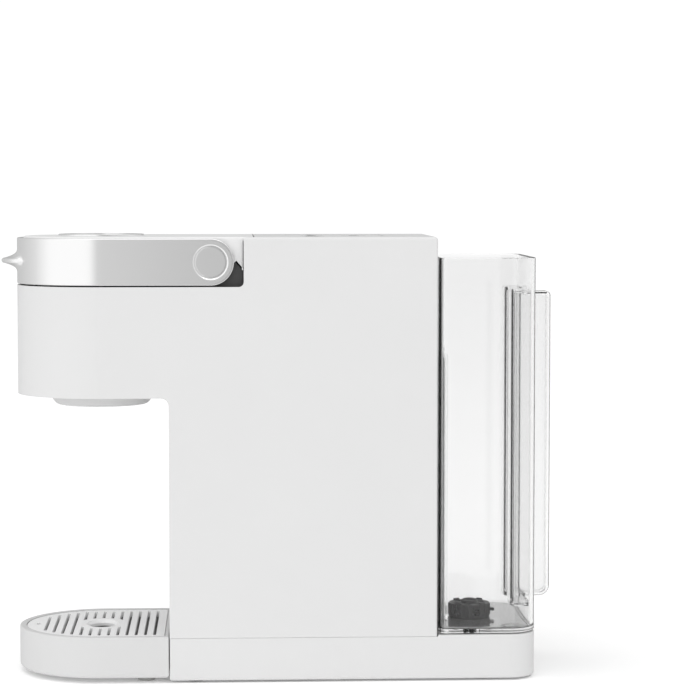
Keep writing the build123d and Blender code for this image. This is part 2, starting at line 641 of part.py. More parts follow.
with BuildPart() as tray_plate:
    with BuildSketch(Plane.XY.offset(plate_bottom_z)):
        add(nose_plan(tray_rim + 0.4, tray_rear_y - 3.0))
    extrude(amount=plate_top_z - plate_bottom_z)
    fillet(tray_plate.edges().group_by(Axis.Z)[-1], 0.5)
    with BuildSketch(Plane.XY.offset(plate_bottom_z)):
        for n in range(slot_count):
            y = first_slot_y + n * slot_pitch
            reach = half_width - tray_rim - 6.5
            nose_half = (reach**2 - min(0.0, y - nose_center_y) ** 2) ** 0.5
            half = min(slot_half_x, nose_half)
            with Locations((0, y)):
                SlotOverall(2 * half, slot_width)
        with Locations((0, first_slot_y - slot_pitch)):
            SlotOverall(7.0, 2.4)
        with Locations((0, nose_center_y - 0.9)):
            Ellipse(*clear_half, mode=Mode.SUBTRACT)
    extrude(amount=plate_top_z - plate_bottom_z, mode=Mode.SUBTRACT)
    # oval finger hole with a sloping edge
    with BuildSketch(Plane.XY.offset(plate_bottom_z)):
        with Locations((0, nose_center_y - 0.9)):
            Ellipse(13.4, 9.2)
    extrude(amount=plate_top_z - plate_bottom_z, mode=Mode.SUBTRACT)
    with BuildSketch(Plane.XY.offset(plate_top_z - 2.2)):
        with Locations((0, nose_center_y - 0.9)):
            Ellipse(13.4, 9.2)
    with BuildSketch(Plane.XY.offset(plate_top_z)):
        with Locations((0, nose_center_y - 0.9)):
            Ellipse(15.5, 11.3)
    loft(mode=Mode.SUBTRACT)
write_piece(tray_plate, "tray_plate")

with BuildPart() as tray_feet:
    with Locations((0, -168, 0), (44, -92, 0), (-44, -92, 0)):
        Cylinder(6, tray_bottom_z, align=upwards)
    chamfer(tray_feet.edges().group_by(Axis.Z)[0], 0.4)
write_piece(tray_feet, "tray_feet")

# ---- Water tank ----
tank_half_x = 58.0
tank_front_y = body_rear_y + 1.0
tank_bottom_z = deck_z + 0.3
tank_top_z = 293.0
tank_wall = 2.4
tank_floor = 3.0
tank_rear_corner = 18.5
tank_front_corner = 5.0
fin_half_x = 8.5
pocket_outer_x = 34.0
pocket_front_y = 165.5
grip_bottom_z = 50.5
grip_top_z = 268.0
channel_half_x = rail_half_x + 1.0
channel_depth = 7.2
channel_top_z = rail_top_z + 1.5
spigot_radius = 8.5
spigot_bore = 6.0
spigot_bottom_z = 25.0


def grip_pockets(grow):
    """The two finger pockets beside the grip fin, grown by a wall's thickness for the inner cavity."""
    with BuildPart() as pockets:
        for side in (-1, 1):
            inner_x = fin_half_x - grow
            outer_x = pocket_outer_x + grow
            front_y = pocket_front_y - grow
            with Locations((side * (inner_x + outer_x) / 2, (front_y + tank_rear_y + 10) / 2,
                            (grip_bottom_z + grip_top_z) / 2)):
                Box(outer_x - inner_x, tank_rear_y + 10 - front_y, grip_top_z - grip_bottom_z + 2 * grow)
        fillet(pockets.edges().filter_by(Axis.Z).group_by(Axis.Y)[0], 5 + grow)
    return pockets.part


def rail_channel(grow):
    """The channel that clears the rail, grown by a wall's thickness for the inner cavity."""
    with BuildPart() as channel:
        with BuildSketch(Plane.YZ) as profile:
            back_y = tank_front_y + channel_depth + grow
            corner = (back_y, channel_top_z + grow)
            add(side_outline([
                (tank_front_y - 5, tank_bottom_z - 5), (back_y, tank_bottom_z - 5),
                corner, (tank_front_y - 5, channel_top_z + grow),
            ]))
            fillet(profile.vertices().sort_by_distance(corner)[0], 5)
        extrude(amount=channel_half_x + grow, both=True)
    return channel.part


def grip_fin(shrink):
    """The grip fin, which stands out behind the tank. Shrunk by a wall's thickness it is its hollow."""
    with BuildPart() as fin:
        with BuildSketch(Plane.YZ) as profile:
            add(side_outline([
                (pocket_front_y - 4, grip_bottom_z + shrink), (fin_back_y - shrink, grip_bottom_z + shrink),
                (fin_back_y - shrink, grip_top_z - shrink), (pocket_front_y - 4, grip_top_z - shrink),
            ]))
            fillet(profile.vertices().sort_by_distance((fin_back_y, grip_bottom_z))[0], 7.5 - shrink)
            fillet(profile.vertices().sort_by_distance((fin_back_y, grip_top_z))[0], 3 - shrink)
        extrude(amount=fin_half_x - shrink, both=True)
        fillet(fin.edges().filter_by(Axis.Z).group_by(Axis.Y)[-1], 2.6 - 0.8 * shrink)
    return fin.part


with BuildPart() as tank_cavity:
    with BuildSketch(Plane.XY.offset(tank_bottom_z + tank_floor)):
        add(round_block(tank_half_x - tank_wall, tank_front_y + tank_wall, tank_rear_y - tank_wall,
                        tank_front_corner - tank_wall, tank_rear_corner - tank_wall))
    extrude(amount=tank_top_z)
    fillet(tank_cavity.edges().group_by(Axis.Z)[0], 2)
    add(grip_pockets(tank_wall), mode=Mode.SUBTRACT)
    add(rail_channel(tank_wall), mode=Mode.SUBTRACT)
    add(grip_fin(tank_wall))

with BuildPart() as water_tank:
    with BuildSketch(Plane.XY.offset(tank_bottom_z)):
        add(round_block(tank_half_x, tank_front_y, tank_rear_y, tank_front_corner, tank_rear_corner))
    extrude(amount=tank_top_z - tank_bottom_z)
    fillet(water_tank.edges().group_by(Axis.Z)[0], 1.5)
    add(grip_pockets(0), mode=Mode.SUBTRACT)
    add(rail_channel(0), mode=Mode.SUBTRACT)
    add(grip_fin(0))
    add(tank_cavity.part, mode=Mode.SUBTRACT)
    fillet(water_tank.edges().group_by(Axis.Z)[-1], tank_wall * 0.35)
    with Locations((0, valve_y, spigot_bottom_z)):
        Cylinder(spigot_radius, tank_bottom_z - spigot_bottom_z + 1, align=upwards)
        Cylinder(spigot_bore, 20, align=upwards, mode=Mode.SUBTRACT)
write_piece(water_tank, "water_tank")

# ---- Tank outlet valve ----
tank_inside_z = tank_bottom_z + tank_floor
cage_radius = 14.4
cage_height = 9.6
cage_top_z = tank_inside_z + cage_height
stem_radius = 2.4

with BuildPart() as valve_cage:
    with Locations((0, valve_y, tank_inside_z)):
        Cylinder(cage_radius, cage_height, align=upwards)
        Cylinder(cage_radius - 1.8, cage_height - 1.6, align=upwards, mode=Mode.SUBTRACT)
    with Locations((0, valve_y, cage_top_z)):
        Cylinder(6.2, 2.0, align=upwards)
    fillet(valve_cage.edges().group_by(Axis.Z)[-1], 1.2)
    with Locations((0, valve_y, cage_top_z - 4)):
        Cylinder(stem_radius + 0.3, 12, align=upwards, mode=Mode.SUBTRACT)
    # windows round the wall and in the top
    with BuildSketch(Plane.XY.offset(tank_inside_z + 2.2)):
        with Locations((0, valve_y)):
            with PolarLocations(cage_radius, 6, start_angle=15):
                Rectangle(6, 5)
    extrude(amount=4.2, mode=Mode.SUBTRACT)
    with BuildSketch(Plane.XY.offset(cage_top_z - 4)):
        with Locations((0, valve_y)):
            with PolarLocations(9.6, 6, start_angle=45):
                Rectangle(4.2, 4.4)
    extrude(amount=6, mode=Mode.SUBTRACT)
    # bayonet lug
    with Locations((0, valve_y + cage_radius + 1.2, tank_inside_z + 4.6)):
        Box(5, 4.4, 1.8)
write_piece(valve_cage, "valve_cage")

poppet_lift = 0.75            # disc above the tank's floor with its seal just clear
with BuildPart() as valve_poppet:
    with Locations((0, valve_y, 27.0)):
        Cylinder(stem_radius, cage_top_z - 0.4 - 27.0, align=upwards)
    with Locations((0, valve_y, tank_inside_z + poppet_lift)):
        Cylinder(8.4, 1.6, align=upwards)
write_piece(valve_poppet, "valve_poppet")

with BuildPart() as poppet_seal:
    with Locations((0, valve_y, tank_inside_z + poppet_lift - 0.7)):
        Cylinder(8.2, 0.7, align=upwards)
        Cylinder(6.4, 0.7, align=upwards, mode=Mode.SUBTRACT)
write_piece(poppet_seal, "poppet_seal")

spring_bottom_z = tank_inside_z + poppet_lift + 1.6
spring_height = cage_top_z - 1.6 - spring_bottom_z
spring_start = (0, valve_y, spring_bottom_z + 0.45)
write_piece(coil(spring_start, (0, 0, 1), 4.6, 0.4, 1.4, spring_height - 0.9), "valve_spring")

# ---- Tank dock in the base ----
dock_floor_z = 19.0
spout_z = dock_floor_z - 4.9
nipple_radius = 3.2
with BuildPart() as tank_dock:
    with BuildSketch(Plane.XZ.offset(-valve_y)):
        with BuildLine():
            Polyline((0, dock_floor_z), (dock_hole_radius + 4, dock_floor_z),
                     (dock_hole_radius + 4, seam_z - wall - 0.1),
                     (dock_hole_radius - 0.3, seam_z - wall - 0.1), (dock_hole_radius - 0.3, deck_z - 0.4),
                     (11.2, deck_z - 0.4), (11.2, 23.0), (9.4, 23.0),
                     (9.4, dock_floor_z + 2), (1.8, dock_floor_z + 2), (1.8, 26.9), (0, 26.9), close=True)
        make_face()
    revolve(axis=Axis((0, valve_y, 0), (0, 0, 1)))
    with Locations(Plane(origin=(0, valve_y - 8, spout_z), z_dir=(0, -1, 0))):
        Cylinder(nipple_radius, 22, align=upwards)
    with Locations((0, valve_y - 8, dock_floor_z - 9)):
        Cylinder(4.5, 9.5, align=upwards)
write_piece(tank_dock, "tank_dock")

with BuildPart() as dock_seal:
    with Locations((0, valve_y, 26.0)):
        Cylinder(11.1, 3.0, align=upwards)
        Cylinder(spigot_radius + 0.06, 3.0, align=upwards, mode=Mode.SUBTRACT)
write_piece(dock_seal, "dock_seal")

with BuildPart() as cord_gland:
    with Locations(Plane(origin=(gland_x, tank_rear_y - wall - 2, gland_z), z_dir=(0, 1, 0))):
        Cylinder(gland_radius + 2, 1.9, align=upwards)
        Cylinder(gland_radius - 0.1, wall + 2.4, align=upwards)
        Cylinder(3.4, 20, mode=Mode.SUBTRACT)
    fillet(cord_gland.edges().group_by(Axis.Y)[-1].sort_by(SortBy.LENGTH)[-1], 0.35)
write_piece(cord_gland, "cord_gland")

# ---- Water path inside the column: flow meter, pump, boiler, hoses ----
hose_outer = 4.6
hose_bore = 3.25
meter_y = 88.0
meter_top_z = 21.0
with BuildPart() as flow_meter:
    with Locations((0, meter_y, 5.0)):
        Cylinder(11, meter_top_z - 5, align=upwards)
    fillet(flow_meter.edges().group_by(Axis.Z)[-1], 1.5)
    with Locations((0, meter_y, meter_top_z - 1)):
        Cylinder(nipple_radius, 7, align=upwards)
    with Locations(Plane(origin=(0, meter_y, spout_z), z_dir=(0, 1, 0))):
        Cylinder(nipple_radius, 17, align=upwards)
write_piece(flow_meter, "flow_meter")

pump_y = 34.0
pump_z = 62.0
ring_offset = 23.5           # rubber rings on the pump's necks
ring_width = 7.0
with BuildPart() as pump:
    with Locations(Plane(origin=(0, pump_y, pump_z), z_dir=(0, 1, 0))):
        Cylinder(17, 38)
        Cylinder(12, 54)
        Box(36, 38, 24)
    chamfer(pump.edges().filter_by(Axis.Y), 1.5)
    with Locations(Plane(origin=(0, pump_y, pump_z), z_dir=(0, 1, 0))):
        Cylinder(nipple_radius, 74)
write_piece(pump, "pump")

with BuildPart() as pump_mounts:
    for y in (pump_y - ring_offset, pump_y + ring_offset):
        with Locations((0, y, 46)):
            Box(30, ring_width, 28)
        with Locations(Plane(origin=(0, y, pump_z), z_dir=(0, 1, 0))):
            Cylinder(17, ring_width)
            Cylinder(12.1, ring_width, mode=Mode.SUBTRACT)
    with Locations((0, pump_y, seam_z)):
        Box(30, 2 * ring_offset + ring_width, 2.4, align=upwards)
write_piece(pump_mounts, "pump_mounts")

boiler_y = 20.0
boiler_bottom_z = 128.0
boiler_top_z = 232.0
boiler_radius = 34.0
boiler_in_y = boiler_y - 14
boiler_out_y = boiler_y - 10
with BuildPart() as boiler:
    with Locations((0, boiler_y, boiler_bottom_z)):
        Cylinder(boiler_radius, boiler_top_z - boiler_bottom_z, align=upwards)
    fillet(boiler.edges().filter_by(GeomType.CIRCLE), 10)
    with Locations((0, boiler_in_y, boiler_bottom_z - 8)):
        Cylinder(nipple_radius, 14, align=upwards)
    with Locations((0, boiler_out_y, boiler_top_z - 6)):
        Cylinder(nipple_radius, 10.5, align=upwards)
write_piece(boiler, "boiler")

with BuildPart() as boiler_bracket:
    for z in (boiler_bottom_z + 22, boiler_top_z - 30):
        with Locations((0, boiler_y, z)):
            Box(2 * (half_width - wall - 0.2), 10, 12)
            Cylinder(boiler_radius + 2.1, 12)
            Cylinder(boiler_radius + 0.1, 12, mode=Mode.SUBTRACT)
write_piece(boiler_bracket, "boiler_bracket")

with BuildPart() as thermostats:
    for z in (boiler_bottom_z + 42, boiler_bottom_z + 58):
        with Locations(Plane(origin=(0, boiler_y + boiler_radius + 0.1, z), z_dir=(0, 1, 0))):
            Cylinder(6.5, 5, align=upwards)
            Box(4, 12, 8, align=upwards)
write_piece(thermostats, "thermostats")

with BuildPart() as inlet_hose:
    with Locations(Plane(origin=(0, meter_y + 13, spout_z), z_dir=(0, 1, 0))):
        Cylinder(hose_outer, valve_y - 13 - meter_y - 13, align=upwards)
        Cylinder(hose_bore, 120, mode=Mode.SUBTRACT)
write_piece(inlet_hose, "inlet_hose")

pump_front_y = pump_y - 30
pump_back_y = pump_y + 30
pump_hose_route = [(0, meter_y, meter_top_z + 0.5), (0, meter_y, pump_z), (0, pump_back_y, pump_z)]
write_piece(hose(pump_hose_route, [14], hose_outer, hose_bore), "pump_inlet_hose")
boiler_hose_route = [
    (0, pump_front_y, pump_z), (0, -18, pump_z), (0, -18, 90), (0, boiler_in_y, 106), (0, boiler_in_y, 126),
]
write_piece(hose(boiler_hose_route, [12, 14, 14], hose_outer, hose_bore), "boiler_hose")
nipple_bottom_z = 259.0
hot_hose_route = [
    (0, boiler_out_y, boiler_top_z + 1), (0, boiler_out_y, 247), (swivel_x, pivot_y, 247),
    (swivel_x, pivot_y, nipple_bottom_z + 5),
]
write_piece(hose(hot_hose_route, [10, 10], hose_outer, hose_bore), "hot_water_hose")

# ---- Rotary joint on the lid's axis, and the lid's own water pipe ----
pipe_radius = 2.5
with BuildPart() as swivel_fitting:
    with Locations(pivot_plane.offset(swivel_x - 8)):
        Cylinder(6.5, 16, align=upwards)
    with Locations((swivel_x, pivot_y, frame_deck_z)):
        Cylinder(9.5, 2, align=upwards)
        Cylinder(5, pivot_z - frame_deck_z, align=upwards)
    with Locations((swivel_x, pivot_y, nipple_bottom_z)):
        Cylinder(nipple_radius, pivot_z - nipple_bottom_z, align=upwards)
        Cylinder(1.8, pivot_z - nipple_bottom_z, align=upwards, mode=Mode.SUBTRACT)
    with Locations(pivot_plane.offset(swivel_x - 9)):
        Cylinder(pipe_radius + pin_clearance, 12, align=upwards, mode=Mode.SUBTRACT)
write_piece(swivel_fitting, "swivel_fitting")

lid_pipe_route = [
    (swivel_x + 1, pivot_y, pivot_z), (6, pivot_y, pivot_z), (6, pivot_y - 26, 299.8),
    (0, nose_center_y, 299.8), (0, nose_center_y, 296.1),
]
write_piece(hose(lid_pipe_route, [7, 12, 3.0], pipe_radius, 1.6), "lid_pipe")

# ---- Control board on the left wall ----
board_x = -51.0
board_face_x = board_x + 0.8
with BuildPart() as control_board:
    with Locations((board_x, 64, 180)):
        Box(1.6, 66, 120)
write_piece(control_board, "control_board")

with BuildPart() as board_parts:
    with Locations((board_face_x, 64, 200)):
        Box(12, 16, 20, align=(Align.MIN, Align.CENTER, Align.CENTER))
    with Locations((board_face_x, 64, 160)):
        Box(12, 18, 24, align=(Align.MIN, Align.CENTER, Align.CENTER))
    with Locations((board_face_x, 88, 200)):
        Box(3, 10, 24, align=(Align.MIN, Align.CENTER, Align.CENTER))
    with Locations(*[Plane(origin=(board_face_x, 64, z), z_dir=(1, 0, 0)) for z in (134, 222)]):
        Cylinder(5, 11, align=upwards)
write_piece(board_parts, "board_parts")
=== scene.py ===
import json
import math

import bmesh
import bpy
import numpy as np
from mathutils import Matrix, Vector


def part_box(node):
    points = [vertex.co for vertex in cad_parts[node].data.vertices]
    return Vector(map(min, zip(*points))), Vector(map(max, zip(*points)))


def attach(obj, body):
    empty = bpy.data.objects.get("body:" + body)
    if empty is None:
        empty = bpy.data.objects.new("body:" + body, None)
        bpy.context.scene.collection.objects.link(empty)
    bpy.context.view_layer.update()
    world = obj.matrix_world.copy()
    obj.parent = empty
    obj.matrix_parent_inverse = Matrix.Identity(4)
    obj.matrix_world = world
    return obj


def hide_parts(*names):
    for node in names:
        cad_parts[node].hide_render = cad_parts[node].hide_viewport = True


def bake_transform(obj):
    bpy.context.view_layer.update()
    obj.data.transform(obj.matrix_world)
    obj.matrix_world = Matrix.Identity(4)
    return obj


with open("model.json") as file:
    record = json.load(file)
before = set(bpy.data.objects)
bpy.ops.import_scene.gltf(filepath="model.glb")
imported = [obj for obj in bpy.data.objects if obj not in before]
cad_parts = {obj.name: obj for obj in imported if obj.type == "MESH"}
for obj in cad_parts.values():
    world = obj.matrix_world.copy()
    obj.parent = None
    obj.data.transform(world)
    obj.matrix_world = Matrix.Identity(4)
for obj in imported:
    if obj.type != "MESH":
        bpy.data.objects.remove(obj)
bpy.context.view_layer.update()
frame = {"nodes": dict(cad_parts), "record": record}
nodes = frame["nodes"]
mm = 0.001  # lengths below are in millimetres unless a comment says otherwise
print("frame loaded:", len(nodes), "nodes")

camera = {"place": (1720.5, -33.9, 340.1), "turn": 2.598, "down": 3.621, "lens": 127.6}  # degrees, mm


def makeCamera():
    data = bpy.data.cameras.new("camera")
    data.lens = camera["lens"]
    data.sensor_width = 36
    data.clip_start = 0.1
    data.clip_end = 30
    obj = bpy.data.objects.new("camera", data)
    bpy.context.scene.collection.objects.link(obj)
    obj.location = [c * mm for c in camera["place"]]
    # looks along -X, turned a little towards +Y and a little down
    obj.rotation_euler = (math.radians(90 - camera["down"]), 0, math.radians(90 - camera["turn"]))
    bpy.context.scene.camera = obj


makeCamera()
print("camera placed")


def hexColour(code):
    # sRGB hex to linear red, green, blue, alpha
    parts = [int(code[i:i + 2], 16) / 255 for i in (1, 3, 5)]
    return [c / 12.92 if c <= 0.04045 else ((c + 0.055) / 1.055) ** 2.4 for c in parts] + [1.0]


def addNode(tree, kind, inputs=None, **settings):
    # one node; an input given as a socket is linked, anything else is its value
    node = tree.nodes.new(kind)
    for name, value in settings.items():
        setattr(node, name, value)
    for name, value in (inputs or {}).items():
        socket = node.inputs[name]
        if isinstance(value, bpy.types.NodeSocket):
            tree.links.new(value, socket)
        else:
            socket.default_value = value
    return node


def newMaterial(name, **surface):
    # a material with one Principled shader; surface holds the values set on its sockets
    mat = bpy.data.materials.new(name)
    mat.use_nodes = True
    tree = mat.node_tree
    tree.nodes.clear()
    shader = addNode(tree, "ShaderNodeBsdfPrincipled", surface)
    addNode(tree, "ShaderNodeOutputMaterial", {"Surface": shader.outputs["BSDF"]})
    place = addNode(tree, "ShaderNodeTexCoord").outputs["Object"]
    return mat, tree, shader, place


def perMetre(sizeMm):
    # noise scale whose features are sizeMm across
    return 1 / (sizeMm * mm)


def linkTo(tree, shader, **sources):
    for name, socket in sources.items():
        tree.links.new(socket, shader.inputs[name.replace("_", " ")])


def mixedColour(tree, factor, low, high):
    # inputs 6 and 7 and output 2 are the node's colour sockets
    mix = addNode(tree, "ShaderNodeMix", {
        "Factor": factor, 6: hexColour(low), 7: hexColour(high)}, data_type="RGBA")
    return mix.outputs[2]


def rangeOf(tree, value, low, high):
    # spreads a noise, which lies mostly between 0.3 and 0.7, over low to high
    mapped = addNode(tree, "ShaderNodeMapRange", {
        "Value": value, "From Min": 0.3, "From Max": 0.7, "To Min": low, "To Max": high})
    return mapped.outputs["Result"]


def mouldedPlastic(name, low, high, rough, grain, grainDepth, ior=1.53, lacquer=0.0):
    # injection-moulded plastic: fine spark-eroded grain (mm across and deep), faint cloudiness, and slightly
    # uneven gloss. Grain this fine would not show, so it is drawn coarser than the real one
    mat, tree, shader, place = newMaterial(name, **{
        "IOR": ior, "Coat Weight": lacquer, "Coat Roughness": 0.12})
    cloud = addNode(tree, "ShaderNodeTexNoise", {
        "Vector": place, "Scale": perMetre(45), "Detail": 3.0}).outputs["Fac"]
    grit = addNode(tree, "ShaderNodeTexNoise", {
        "Vector": place, "Scale": perMetre(grain), "Detail": 2.0}).outputs["Fac"]
    bump = addNode(tree, "ShaderNodeBump", {"Height": grit, "Distance": grainDepth * mm, "Strength": 0.5})
    linkTo(tree, shader, Base_Color=mixedColour(tree, cloud, low, high),
           Roughness=rangeOf(tree, cloud, rough - 0.04, rough + 0.04), Normal=bump.outputs["Normal"])
    return mat


def satinMetal(name, low, high, rough, lineHeight, lineLength, depth=0.35):
    # metal brushed along its length: short scratches laid the long way, so gloss stretches across them. They
    # are lineHeight by lineLength mm, coarser than real ones, which would be too fine to show
    mat, tree, shader, place = newMaterial(name, **{"Metallic": 1.0})
    stretch = addNode(tree, "ShaderNodeMapping", {"Vector": place, "Scale": (
        perMetre(lineLength), perMetre(lineLength), perMetre(lineHeight))}).outputs["Vector"]
    lines = addNode(tree, "ShaderNodeTexNoise", {
        "Vector": stretch, "Scale": 1.0, "Detail": 3.0}).outputs["Fac"]
    bump = addNode(tree, "ShaderNodeBump", {"Height": lines, "Distance": 0.004 * mm, "Strength": depth})
    linkTo(tree, shader, Base_Color=mixedColour(tree, lines, low, high),
           Roughness=rangeOf(tree, lines, rough - 0.02, rough + 0.02), Normal=bump.outputs["Normal"])
    return mat


def clearPlastic(name, tint, rough):
    # clear copolyester: glassy, a trace of haze from moulding, faint flow waves
    mat, tree, shader, place = newMaterial(name, **{
        "Base Color": hexColour(tint), "Transmission Weight": 1.0, "IOR": 1.49, "Roughness": rough})
    waves = addNode(tree, "ShaderNodeTexNoise", {
        "Vector": place, "Scale": perMetre(60), "Detail": 1.0}).outputs["Fac"]
    bump = addNode(tree, "ShaderNodeBump", {"Height": waves, "Distance": 0.15 * mm, "Strength": 0.15})
    linkTo(tree, shader, Normal=bump.outputs["Normal"])
    return mat


def rubber(name, low, high):
    # moulded silicone or nitrile: dull, with a dusty grain
    return mouldedPlastic(name, low, high, 0.72, 0.6, 0.05, ior=1.45)


def makeMaterials():
    return {
        # ABS, moulded: an even satin white with a faint highlight
        "white_casing": mouldedPlastic("satin_white_abs", "#D6D6D6", "#D8D8D8", 0.42, 0.7, 0.01),
        # the same ABS in a whiter shade, which is painted light: it offsets the shade that the head casts on
        # the slotted plate
        "tray_plate": mouldedPlastic("satin_white_abs_grate_painted_lighter", "#F0F0F0", "#F2F2F2", 0.42, 0.7, 0.01),
        # and in a greyer one with a little less gloss
        "tray_bowl": mouldedPlastic("satin_white_abs_tray", "#CFCFCF", "#D1D1D1", 0.45, 0.7, 0.01),
        # thermoplastic elastomer, moulded and dull; its pale grey is painted shade, the tone of the shadow
        # line under the tray, so the feet blend into it
        "tray_feet": rubber("elastomer_painted_shadow_grey", "#A6A6A4", "#AEAEAC"),
        # ABS, moulded: the casing's satin white painted lighter, as painted light for the extra light that
        # falls on the lid's top from above
        "lid_white": mouldedPlastic("satin_white_abs_lid_painted_lighter", "#E2E2E2", "#E4E4E4", 0.40, 0.7, 0.01),
        # polypropylene, moulded: greyer and duller than the casing
        "funnel_white": mouldedPlastic(
            "matte_white_polypropylene", "#CACACA", "#CECECE", 0.55, 0.5, 0.02, 1.49),
        # vacuum-metallised band, brushed along its length: soft bright streaks
        "silver_band": satinMetal("brushed_silver_band", "#F0F0F0", "#F2F2F2", 0.21, 0.3, 22, 0.1),
        # the same on a short face: finer, shorter streaks and a softer shine
        "satin_cap": satinMetal("brushed_silver_cap", "#EEEEEE", "#F0F0F0", 0.24, 0.25, 6, 0.12),
        # ABS, moulded in a polished tool: clear, narrow highlights
        "button_white": mouldedPlastic("gloss_white_abs", "#E2E2E2", "#E8E8E8", 0.22, 0.7, 0.005),
        # clear copolyester, moulded: looks like thick glass with a pale grey edge
        "clear_tank": clearPlastic("clear_copolyester", "#F6F6F6", 0.05),
        # glass-filled nylon, moulded: charcoal with a dry surface
        "dark_plastic": mouldedPlastic("charcoal_nylon", "#434343", "#4B4B4B", 0.55, 0.5, 0.03),
        # polypropylene, moulded: a flat mid grey
        "grey_plastic": mouldedPlastic("grey_polypropylene", "#8C8C8C", "#949494", 0.5, 0.6, 0.03, 1.49),
        # silicone, moulded: black, with no shine
        "black_rubber": rubber("black_silicone_rubber", "#222222", "#2A2A2A"),
        # silicone, drawn into tube: milky and dull
        "hose_silicone": rubber("milky_silicone_hose", "#CFCFCA", "#D8D8D3"),
        # stainless steel, drawn or turned: bright with fine lines
        "steel": satinMetal("turned_stainless_steel", "#B8B8B6", "#C6C6C4", 0.24, 0.2, 3),
        # aluminium, die-cast: a pale grey metal, its gloss faintly mottled
        "cast_aluminium": satinMetal("die_cast_aluminium", "#A9AAAC", "#B6B7B9", 0.45, 1.2, 1.2),
        # steel, lacquered: dark grey under a thin clear coat
        "pump_body": mouldedPlastic(
            "lacquered_steel_housing", "#55565A", "#5E5F63", 0.35, 1.5, 0.02, 1.5, 0.3),
        # phenolic resin, moulded: dark brown with a soft shine
        "thermostat_body": mouldedPlastic("brown_phenolic", "#3A2C22", "#44352A", 0.4, 0.8, 0.02, 1.6),
        # laminate under solder mask: green with a thin glossy film
        "board_green": mouldedPlastic(
            "green_solder_mask", "#1E5B36", "#256B41", 0.3, 0.9, 0.01, 1.5, 0.4),
        # epoxy, moulded: near black with a low shine
        "board_black": mouldedPlastic("black_component_cases", "#1C1C1C", "#262626", 0.35, 0.5, 0.01),
    }


materials = makeMaterials()
slotOf = {part["node"]: part["material_slot"] for part in frame["record"]["subparts"]}
for name, obj in nodes.items():
    obj.data.materials.clear()
    obj.data.materials.append(materials.get(name, materials[slotOf[name]]))
print("materials assigned")


def gridMesh(points, wrap=False):
    # points is rows x columns x 3, in millimetres; each square of four neighbours becomes a face, and wrap
    # joins the last column to the first. Rows that shrink to a point or fold onto themselves are merged by
    # finishPiece
    rows, columns = points.shape[:2]
    index = np.arange(rows * columns).reshape(rows, columns)
    if wrap:
        index = np.hstack([index, index[:, :1]])
    quads = np.stack([index[:-1, :-1], index[:-1, 1:], index[1:, 1:], index[1:, :-1]], -1).reshape(-1, 4)
    mesh = bpy.data.meshes.new("grid")
    mesh.from_pydata((points.reshape(-1, 3) * mm).tolist(), [], quads.tolist())
    return mesh


def smoothShade(mesh, angle):
    mesh.polygons.foreach_set("use_smooth", np.ones(len(mesh.polygons), bool))
    mesh.set_sharp_from_angle(angle=math.radians(angle))


def boxOf(node):
    # lowest corner, highest corner and middle of a CAD node's box, in mm
    low, high = (np.array(corner, float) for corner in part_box(node))
    return low / mm, high / mm, (low + high) / 2 / mm


def finishPiece(name, parts, material, body, angle=32, merge=0.004):
    # parts become one piece: doubles merged, faces turned outwards, edges sharper than angle kept crisp
    work = bmesh.new()
    for part in parts:
        work.from_mesh(part)
    mesh = bpy.data.meshes.new(name)
    bmesh.ops.remove_doubles(work, verts=work.verts, dist=merge * mm)
    bmesh.ops.dissolve_degenerate(work, edges=work.edges, dist=merge * mm / 2)
    bmesh.ops.recalc_face_normals(work, faces=work.faces)
    work.to_mesh(mesh)
    work.free()
    smoothShade(mesh, angle)
    mesh.materials.clear()
    mesh.materials.append(material)
    obj = bpy.data.objects.new(name, mesh)
    bpy.context.scene.collection.objects.link(obj)
    if body:
        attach(obj, body)
    return obj


def lathe(profile, centre, axis="Z", steps=96):
    # profile is a list of (radius, height along the axis), turned a full circle about the axis through
    # centre: across = radius cos turn, up = radius sin turn, along = height
    radius, height = np.array(profile, float).T
    turn = np.linspace(0, 2 * np.pi, steps, endpoint=False)
    across, up, along = (np.outer(radius, np.cos(turn)), np.outer(radius, np.sin(turn)),
                         np.outer(height, np.ones(steps)))
    order = {"Z": (across, up, along), "X": (along, across, up), "Y": (up, along, across)}[axis]
    return np.stack(order, -1) + np.array(centre, float)


handle = {
    "outerRadius": 59.0, "innerRadius": 55.8, "halfHeight": 16.1, "noseY": -123.8,
    "edge": 0.9, "innerEdge": 0.4,  # width of the polished bevels round the outer and the inner edge
    "lipReach": 10.9, "lipPlanRadius": 28.4, "lipPlanY": -165.3,
    "lipTip": 1.75, "lipRoot": 8.6, "lipEnd": 1.2,  # half heights: at the tip, the root and the lip's ends
    "lipCurve": 2.8, "lipSwell": 0.55,  # powers: how hollow the flanks are, how the root grows with reach
    "tipShare": 0.22, "flankPower": 1.25,  # share of the rings on the tip, and how the rest crowd to it
    "lipBand": 0.12,  # where the lip gives way to the band on the arms, from middle line 0 to edge 1
    "fineHalf": 34,  # the outline has finer steps this far to each side of the nose
    "capSeat": 10.5, "capBevel": 12.2, "seatDepth": 1.7, "seatEdge": 1.3,
    "plugFlare": 1.2, "plugProud": 0.9,  # how far the cutting plug widens, and stands clear of the band
}


def handleOutline():
    # the band laid flat is a stadium: two long lines and two half circles. Returns for each outline point
    # the distance along the band, s, and height, h, of its edge, and of the middle line that faces it
    nose = np.pi * handle["outerRadius"] / 2
    arm = handle["pivot"][1] - handle["noseY"]
    half = handle["fineHalf"]
    fine = np.linspace(-half, half, 110)
    side = np.concatenate([np.linspace(half, nose, 34)[1:], np.linspace(nose, nose + arm, 26)[1:]])
    top = np.concatenate([-side[::-1], fine, side])
    end = np.linspace(np.pi / 2, -np.pi / 2, 49)[1:-1]
    h = handle["halfHeight"]
    edgeS = np.concatenate([top, top[-1] + h * np.cos(end), top[::-1], top[0] - h * np.cos(end)])
    edgeH = np.concatenate([np.full(len(top), h), h * np.sin(end), np.full(len(top), -h), -h * np.sin(end)])
    midS = np.concatenate([top, np.full(len(end), top[-1]), top[::-1], np.full(len(end), top[0])])
    return edgeS, edgeH, midS


